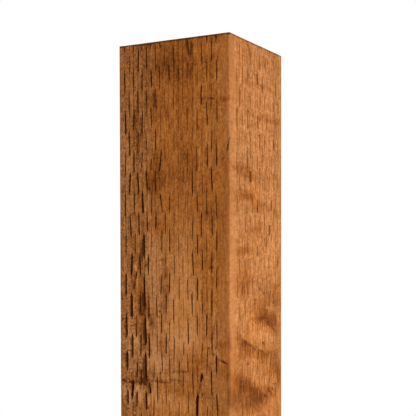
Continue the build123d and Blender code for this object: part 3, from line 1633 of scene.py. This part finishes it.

# Broad patches, darker below zero: stains of the timber, darker towards the top end of the front, and
# painted shade on the left of the long crack on the front
STAINS_AND_PAINTED_SHADE = (
    *patches(
        Side.FRONT,
        # This row makes the top end of the front darker
        (50, 3, 78, 14, -0.1), (38, 14, 21, 44, -0.16), (49, 19, 66, 34, -0.24), (34, 44, 28, 44, -0.17),
        (57, 42, 42, 40, -0.06), (84, 40, 18, 120, 0.07), (80, 43.5, 28, 10, -0.08),
        (5, 74, 11, 56, 0.12), (14, 58, 14, 66, -0.13), (74, 74, 24, 60, 0.06), (34, 83, 20, 30, -0.2),
        (57, 83, 22, 24, -0.12), (44, 95, 48, 18, -0.1), (30, 98, 24, 34, -0.28), (8, 60, 66, 420, -0.07),
        (30, 120, 16, 40, -0.16), (35, 128, 16, 18, -0.12), (20.5, 129, 12, 16, -0.16),
        (52, 130, 40, 56, 0.1), (74, 120, 12, 26, -0.1), (81, 148, 24, 34, -0.09),
        (30, 165, 28, 80, 0.07), (38.5, 170, 10, 62, -0.24), (53, 184, 38, 130, 0.3),
        (54, 204, 46, 30, 0.14), (31, 224, 24, 22, 0.28), (28, 210, 16, 30, 0.16),
        # The last patch of this row and the first two of the next are painted shade on the left of the long
        # crack
        (86, 170, 14, 110, 0.05), (14, 212, 26, 50, 0.24), (18, 150, 7, 30, -0.2),
        (18.6, 184, 9, 34, -0.22), (18.4, 205, 7, 32, -0.12), (11.5, 171, 5, 10, -0.14),
        (12, 141, 12, 18, -0.16), (74.5, 155, 7, 4, -0.24), (84, 206, 16, 8, -0.15),
        (85, 224, 13, 18, -0.13), (77, 212, 14, 22, 0.1), (62, 224, 16, 20, -0.18),
        (11, 239, 30, 9, -0.2), (13, 248, 24, 14, 0.24), (30, 244, 12, 26, 0.14), (5, 253, 10, 22, 0.18),
        (46, 251, 60, 18, 0.18),
    ),
    *patches(
        Side.RIGHT,
        (5.5, 76, 18, 130, 0.08), (5.5, 162, 18, 120, 0.12), (66, 8, 60, 40, -0.08),
        (24, 8, 16, 28, -0.1), (54, 29, 90, 6, -0.08), (62, 51, 76, 10, -0.12), (79, 51.5, 24, 8, -0.08),
        (20, 89, 52, 11, -0.2, -4), (31, 94, 38, 10, -0.15, -4), (64, 93, 70, 11, -0.1),
        (24, 107, 60, 11, -0.22, -7), (49, 115, 34, 14, -0.18), (72, 118, 30, 14, -0.09),
        (12, 128, 30, 22, 0.09), (40, 132, 36, 9, -0.16, -6), (22, 145, 42, 9, -0.2, -2),
        (70, 151, 36, 36, 0.1), (24, 167, 42, 32, -0.2), (81, 157, 14, 18, -0.1),
        (80, 176, 26, 6, -0.14, -8), (64, 186, 74, 38, -0.18), (14, 182, 16, 32, 0.09),
        (66, 199.5, 60, 16, -0.27, -19), (44, 196.5, 26, 7, -0.14, -16), (53, 210, 60, 13, 0.11, -21),
        (23, 210, 44, 11, -0.24, -27), (44, 221, 60, 10, -0.2, -12), (20, 215, 34, 26, -0.12),
        (64, 226.5, 56, 16, -0.17, -9), (74, 238, 42, 17, -0.24, -11), (24, 247.5, 92, 28, -0.38, -16),
        (22, 237, 46, 14, -0.34, -18), (12, 230, 40, 12, -0.16, -10), (43, 250.5, 30, 17, -0.26, -32),
        (52, 255, 20, 10, -0.16, -32), (62, 246, 38, 5, 0.1, -26), (66, 254, 38, 12, -0.2, -24),
        (87.5, 110, 6, 260, -0.07), (72, 192, 34, 10, 0.1, -14), (12.5, 106, 5, 30, 0.16),
        (83, 247, 12, 22, -0.28),
    ),
    *knots(Side.FRONT, (58, 560, 15), (27, 1010, 17), (62, 1490, 13), (34, 1960, 16)),
    *knots(Side.RIGHT, (40, 640, 17), (60, 1180, 14), (28, 1720, 17), (54, 2210, 13)),
    *knots(Side.BACK, (30, 210, 15), (60, 830, 17), (36, 1420, 14), (58, 2010, 16)),
    *knots(Side.LEFT, (54, 330, 14), (30, 960, 17), (60, 1560, 15), (38, 2120, 16)),
    *patches(Side.BACK, (26, 90, 60, 60, -0.16), (64, 150, 50, 90, -0.1)),
    *patches(Side.LEFT, (30, 120, 60, 110, -0.14), (66, 210, 40, 70, -0.12)),
)

# Small patches with sharper edges, darker below zero: cracks, spots and stains of the timber, a darker line
# along the top edge, and on the front's torn left third painted highlights on the lips beside the slits and
# painted shade on the left of the long crack
MARKS_AND_PAINTED_LIGHT = (
    *patches(
        Side.FRONT,
        # The first patch is darker along the top edge; the rest of this row and the next are painted shade
        # on the left of the long crack, about 20 mm across
        (44.5, 0.2, 220, 3, -0.55), (19.6, 146, 5, 26, -0.18), (20, 176, 5, 40, -0.2),
        (20.2, 205, 4.6, 26, -0.16), (19.8, 231, 6, 26, -0.2), (20, 239.5, 9, 9, -0.28),
        # These three rows and the first patch of the next are painted highlights on the lips beside the
        # slits
        (23.7, 197, 2.2, 12, 0.24), (14.2, 210, 2.8, 16, 0.26), (14.8, 244, 3.2, 9, 0.32),
        (24.3, 251.5, 2.4, 12, 0.34), (11.8, 249, 2, 14, 0.26), (8.2, 251, 2, 12, 0.24),
        (13.4, 158, 2.6, 12, 0.22), (14.6, 167, 2, 10, 0.2), (22.9, 152, 1.8, 12, 0.18),
        (25.8, 163, 3, 20, 0.12), (9, 229, 16, 7, 0.2), (17, 250.5, 3, 13, 0.24), (30, 253, 14, 12, 0.16),
        (57.2, 6, 3.2, 17, -0.72, 10), (60.2, 7, 2, 16, -0.42, -2), (31.4, 3.4, 1.8, 3.6, -0.35),
        (35.5, 3.4, 1.8, 3.6, -0.3), (31.5, 17.5, 1.6, 6, -0.4), (59, 25, 8, 12, -0.12),
        (57, 20, 2.2, 12, -0.16), (30.6, 39.5, 5.4, 18, -0.36), (32.2, 31.8, 2.6, 1.8, 0.25),
        (33, 48.2, 1.6, 3.4, 0.25), (13.6, 46.3, 2.2, 3.2, -0.32), (13.5, 53, 2.8, 15, -0.16),
        (18, 63.5, 2.2, 3.2, -0.3), (17, 70, 2.6, 20, -0.14), (69.5, 41.5, 6, 3.4, -0.16),
        (75.3, 42.2, 7.5, 2, -0.4, -6), (84.5, 43.5, 11, 5.4, -0.17, -8), (79, 38.5, 1.5, 8, -0.2, 15),
        (84, 47.5, 12, 1.7, -0.13, -4), (83, 35.8, 12, 1.6, -0.11, 2), (61.2, 42, 1.8, 4.4, -0.26),
        (65.3, 61.5, 4.4, 6.4, -0.27), (61.2, 64, 2, 10, -0.12), (87.8, 74, 1.8, 15, -0.46, -12),
        (84.4, 82.6, 4.6, 2, -0.36, 25), (83, 84.6, 2.2, 2.8, -0.3), (25.6, 102.4, 3.4, 3.4, -0.48),
        (25, 95, 2.6, 16, -0.16), (10.8, 118.2, 2.8, 2.6, 0.3), (22.8, 117, 1.6, 5.4, 0.25),
        # In these rows the light patches at 13 to 15 mm across are painted highlights on slit lips, and the
        # dark ones at 17 to 20 mm across, 143 to 227 mm below, painted shade on the left of the long crack
        (72.2, 118, 2.6, 2.6, -0.25), (76, 117.5, 4.4, 5.4, -0.16), (13.2, 158, 3.4, 8.6, 0.32),
        (14.9, 170, 2.2, 16, 0.36), (12.2, 171, 4.4, 8, -0.26), (22.6, 155.5, 4.2, 8, -0.4),
        (19.6, 143, 3.2, 18, -0.26), (20.4, 182, 5, 20, -0.38), (17.6, 185, 2.8, 18, -0.22),
        (19.8, 202, 3.6, 24, -0.3), (20.2, 214.5, 3.6, 9, -0.24), (20.2, 227, 3.2, 18, -0.26),
        (26.6, 198, 4, 13, -0.2), (2.6, 205, 3.6, 50, 0.1), (17.5, 228, 6, 8, 0.14),
        (18, 226, 5, 1.6, -0.26, 8), (18.4, 229.4, 5, 1.4, -0.18, 8), (9.8, 235.5, 1.8, 6, -0.42),
        (35, 154, 2.2, 3.2, 0.26), (41, 154, 2, 7.4, 0.26), (36.5, 152, 4, 2, -0.24),
        (26.5, 153, 2, 2.6, -0.26), (19, 191.5, 9, 2.8, -0.38), (26, 191.5, 4.4, 2.6, -0.32),
        (30, 190.5, 9, 2, -0.18), (34.2, 188, 2.6, 2.6, -0.48), (34.2, 192, 2.8, 2.4, -0.32),
        # The light patches in this row are painted highlights on slit lips
        (23.8, 199, 2.4, 12, 0.36), (26.6, 196, 3.2, 8.4, -0.18), (13.4, 210.5, 3, 17, 0.32),
        (18, 217.2, 7.4, 2, -0.38, 2), (26.5, 216.8, 5.4, 2, -0.38), (9, 218.2, 6.4, 1.8, -0.27, 4),
        (73, 209.6, 3.2, 2.4, -0.42, 10), (76.6, 213.2, 4.8, 2.4, -0.42, -12),
        (78.6, 209, 1.8, 2.6, -0.38), (82, 216.6, 3.8, 1.8, -0.32, 5), (84.8, 218, 8, 2.6, -0.62, -28),
        (33, 231.6, 24, 2.4, -0.24, 9), (49, 228.6, 26, 3, -0.26, 7), (34, 237.6, 24, 2.6, -0.32, 3),
        (47, 234.8, 24, 2.4, -0.26, 5), (34.5, 236.2, 3, 2, -0.22), (28.2, 233.8, 1.8, 2, -0.32),
        (3.6, 240.8, 6.4, 2.6, -0.6, -6), (8.6, 241.2, 6.4, 2.4, -0.55, 14),
        (12.4, 236, 4, 2.6, -0.38, 20), (18.5, 232, 5.4, 4.2, -0.32, -20), (18.4, 238, 3, 6, -0.36),
        # The light patches in this row and the next are painted highlights on slit lips and torn flakes
        (21.8, 238.6, 6.2, 11, -0.55, -12), (15, 245, 5.6, 6, 0.34), (24.6, 253, 2.2, 11, 0.46),
        (16.8, 254, 2.6, 10, 0.3), (7.8, 252, 2.4, 12, 0.36), (66.6, 237, 3, 9, -0.3),
        (67.8, 242.4, 1.9, 6.4, -0.42),
    ),
    *patches(
        Side.RIGHT,
        (63, 247, 3, 6, -0.42, 20), (74, 250, 16, 1.8, -0.36, -14), (69, 242, 5, 2, -0.28, -30),
        (64.5, 253, 7, 3, -0.4, -20), (58, 254.5, 8, 2, -0.35, -20), (44.5, 0.2, 220, 3, -0.34),
        (21, 2.4, 3, 3.4, -0.22), (28.5, 4, 3, 4, -0.2), (28.6, 48.4, 3, 3.4, -0.42),
        (37, 50.2, 4, 2.4, -0.3), (61, 52, 3, 3, -0.28), (47, 64.2, 3.4, 2.6, -0.3),
        (24, 66.6, 2.8, 2.6, -0.24), (57, 68, 4, 3, -0.18), (35.6, 110.5, 3.6, 4.4, -0.28),
        (59.4, 115.4, 3.2, 2.6, -0.26), (51.6, 137.4, 3.4, 3.4, -0.26), (40, 155.4, 2.6, 2.8, -0.32),
        (47.5, 155, 3.4, 5, -0.22), (55.5, 153, 3, 2.8, -0.2), (64, 154.6, 3.4, 2.4, -0.3),
        (61, 192.2, 5, 2.2, -0.3, -12), (53, 196.4, 26, 3.6, -0.32, -9), (66, 203, 24, 6, -0.2, -22),
        (75, 209, 16, 4.2, -0.24, -26), (41.5, 198, 6.4, 2.6, -0.28, -30),
        (35, 194.4, 7, 2.2, -0.16, -14), (15.8, 202.4, 5.4, 3.2, -0.28, -35),
        (24, 208.8, 14, 3.6, -0.3, -24), (33, 212.8, 14, 2.4, -0.28, -22),
        (38.5, 216.2, 9, 2.8, -0.38, -35), (42.4, 215.2, 4.6, 2.4, -0.36, -25),
        (49, 219.6, 16, 2.4, -0.24, -18), (54.4, 215, 8.4, 2.9, -0.52, -40),
        (28, 225, 7, 3.4, -0.18, -10), (24, 227.8, 8, 2.2, -0.18, -20), (53, 228, 2.8, 4.6, -0.26),
        (32.4, 233, 2.6, 3.2, -0.24), (17, 238.4, 5.4, 2.6, -0.28, -10),
        (63.5, 250.6, 6, 3.6, -0.42, -20), (71.5, 253.2, 6.4, 2.2, -0.38, -30),
        (57.5, 255, 7.4, 3.6, -0.52, -40), (69, 255.8, 9, 2.2, -0.36, -30), (0.6, 203, 4, 20, -0.14),
        (0.4, 226, 5, 44, -0.12),
    ),
)

# Where the fine figure is weaker, or stronger below zero
CALM = (
    *patches(Side.FRONT, (86, 1219, 16, 6000, 0.35)),
    *patches(Side.RIGHT, (4, 1219, 20, 6000, 0.78), (50, 1219, 96, 6000, -0.25)),
    *patches(Side.BACK, (3, 1219, 14, 6000, 0.6)),
    *patches(Side.LEFT, (84, 1219, 18, 6000, 0.6)),
)

# Where the timber is weathered, or fresher below zero
WEATHERED = (
    *patches(
        Side.FRONT,
        (8, 130, 68, 560, 1.1), (17, 186, 20, 100, -0.4), (30, 20, 22, 90, 0.35), (31, 114, 18, 34, 0.4),
        (32, 190, 46, 170, 0.45), (50, 190, 24, 80, -0.4), (38, 166, 14, 90, 0.5), (79, 200, 18, 50, 0.4),
        (47, 233, 30, 15, 0.4), (76, 236, 44, 60, 0.45), (14, 176, 46, 112, -0.38),
        (14, 110, 14, 60, -0.4), (42, 222, 26, 44, 0.4), (60, 101, 24, 30, 0.22), (70, 191, 13, 32, 0.4),
    ),
    *patches(
        Side.RIGHT,
        (48, 60, 220, 340, 1.05), (44, 215, 220, 200, 0.75), (60, 190, 60, 14, 0.3),
        (60, 204, 60, 22, -0.25, -20), (36, 142, 30, 40, -0.25), (66, 10, 60, 40, 0.25),
        (64, 77, 60, 40, 0.3), (9, 45, 24, 80, -0.2), (10, 168, 22, 24, -0.3), (16, 249, 56, 28, 0.6),
        (42, 195, 44, 50, -0.4, -10), (38, 105, 44, 26, -0.45),
    ),
    *patches(Side.BACK, (30, 130, 90, 420, 0.8), (70, 60, 60, 300, 0.4)),
    *patches(Side.LEFT, (60, 140, 90, 440, 0.8), (20, 90, 60, 300, 0.5)),
)

# Where the fibres are torn up
ROUGH = (
    *patches(
        Side.FRONT,
        (12, 70, 50, 300, 0.4), (10, 215, 44, 190, 0.9), (14, 620, 46, 700, 0.6),
        (70, 1700, 40, 900, 0.5),
    ),
    *patches(Side.RIGHT, (24, 1400, 40, 900, 0.4)),
    *patches(Side.BACK, (20, 480, 46, 900, 0.6), (66, 1750, 40, 800, 0.5)),
    *patches(Side.LEFT, (66, 800, 44, 1100, 0.6)),
)

# A key lamp on the right, a weaker one on the left and one behind
LAMPS = (
    Softbox("key_right", (3.27, 0.46, 2.0), aim=(0.0, 0.0, 1.6), width=1.6, height=3.2, power=120.0),
    Softbox("fill_left", (-1.73, -3.0, 2.2), aim=(0.0, 0.0, 1.6), width=1.4, height=3.0, power=55.0),
    Softbox("back", (-1.5, 3.4, 2.2), aim=(0.0, 0.0, 1.4), width=2.4, height=3.0, power=90.0),
)


def main() -> None:
    """Build the post, dress it and set the stage round it."""
    low, high = (Vector(corner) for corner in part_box(POST_NODE))
    size = high - low
    section = Section(width=size.x, depth=size.y, length=size.z)
    incising = Incising(section, TEETH, GAPES, GASHES, CHECKS)
    finish = TreatedTimber(section, STAINS_AND_PAINTED_SHADE, WEATHERED, ROUGH, CALM, MARKS_AND_PAINTED_LIGHT)
    post = IncisedPost(section, incising, DRIFTS, TORN).build(finish.materials())
    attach(post, "root")
    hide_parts(POST_NODE)
    LOG.info("%s: %d faces", post.name, len(post.data.polygons))
    floor = Studio(LAMPS).build()
    LOG.info("%s: stage", floor.name)


if __name__ == "__main__":
    logging.basicConfig(level=logging.INFO)
    main()
